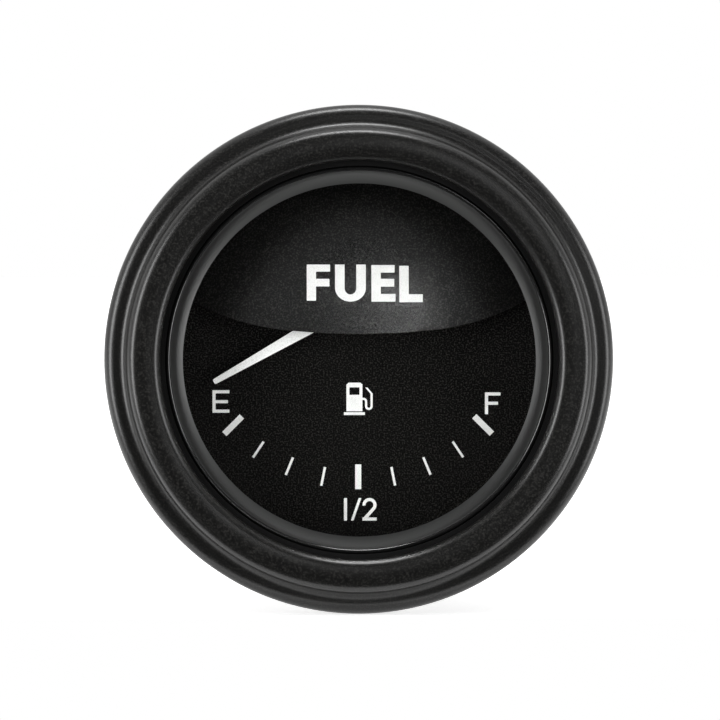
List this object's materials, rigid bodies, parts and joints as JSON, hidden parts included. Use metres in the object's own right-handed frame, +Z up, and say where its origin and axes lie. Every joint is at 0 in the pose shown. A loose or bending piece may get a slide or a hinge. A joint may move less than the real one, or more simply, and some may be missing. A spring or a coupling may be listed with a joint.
{
  "type": "fuel gauge",
  "caption": "Round electric fuel gauge for a dashboard: stepped black bezel, bevelled glass, hooded dial with a swinging white pointer, and a drawn can held from behind by a U-shaped clamp.",
  "frame": {"origin": "the gauge's axis where it meets the panel's front, in the plane of the bezel's back face", "axes": "+Y along the gauge's axis, from the driver's side into the dashboard; +Z up the dial; +X to the driver's right"},
  "size_m": [0.0604, 0.0629, 0.0604],
  "materials": {
    "bezel_enamel": "satin black enamel with a fine grain",
    "glass": "clear float glass with a ground bevel",
    "black_trim": "gloss black",
    "gasket_rubber": "matt",
    "black_moulding": "matt black moulding",
    "dial_paint": "fine matt black",
    "white_print": "matt white ink",
    "hood_paint": "matt black with a soft sheen",
    "steel": "plain drawn steel",
    "blackened_steel": "blackened",
    "brass": "turned or pressed brass",
    "pointer_paint": "matt white paint on aluminium",
    "magnet": "dull grey magnet alloy",
    "bobbin_moulding": "natural nylon",
    "copper_winding": "enamelled copper wire",
    "phenolic": "brown phenolic board",
    "resistor_coat": "fired ceramic coat",
    "can_finish": "black finish on drawn steel",
    "zinc_plate": "bright zinc plate",
    "clamp_plate": "dull zinc plate",
    "holder_moulding": "black nylon",
    "bulb_glass": "clear bulb glass"
  },
  "bodies": {
    "gauge": {"bezel": "bezel_enamel", "lens": "glass", "lens_retainer": "black_trim", "lens_gasket": "gasket_rubber", "spacer_ring": "black_moulding", "dial": "dial_paint", "scale_marks": "white_print", "dial_hood": "hood_paint", "stop_pins": "steel", "dial_screws": "blackened_steel", "dial_pillars": "brass", "front_bearing": "brass", "rear_bearing": "brass", "bobbin_front": "bobbin_moulding", "bobbin_rear": "bobbin_moulding", "inner_coil": "copper_winding", "outer_coil": "copper_winding", "shield_can": "steel", "base_plate": "steel", "return_magnet": "magnet", "lead_board": "phenolic", "contact_strips": "brass", "resistor": "resistor_coat", "case": "can_finish", "mouth_ring": "can_finish", "clamp_studs": "zinc_plate", "case_washers": "zinc_plate", "case_nuts": "zinc_plate", "terminal_studs": "brass", "inner_insulators": "phenolic", "terminal_bushes": "phenolic", "terminal_washers": "brass", "terminal_nuts": "brass"},
    "pointer_movement": {"pointer": "pointer_paint", "pointer_hub": "black_moulding", "pointer_weight": "brass", "spindle": "steel", "rotor_magnet": "magnet"},
    "clamp": {"mounting_clamp": "clamp_plate", "clamp_lock_washers": "zinc_plate", "clamp_nuts": "zinc_plate"},
    "lamp": {"lamp_holder": "holder_moulding", "lamp_cap": "brass", "lamp_bulb": "bulb_glass", "lamp_blade": "brass"}
  },
  "joints": [
    {"name": "pointer_sweep", "type": "hinge", "parent": "gauge", "child": "pointer_movement", "pos_m": [0, 0, 0.007], "axis": [0, -1, 0], "range_deg": [0, 120]},
    {"name": "clamp_travel", "type": "slide", "parent": "gauge", "child": "clamp", "axis": [0, 1, 0], "range_m": [0, 0.0115]},
    {"name": "lamp_pull", "type": "slide", "parent": "gauge", "child": "lamp", "axis": [0, 1, 0], "range_m": [0, 0.03]}
  ]
}
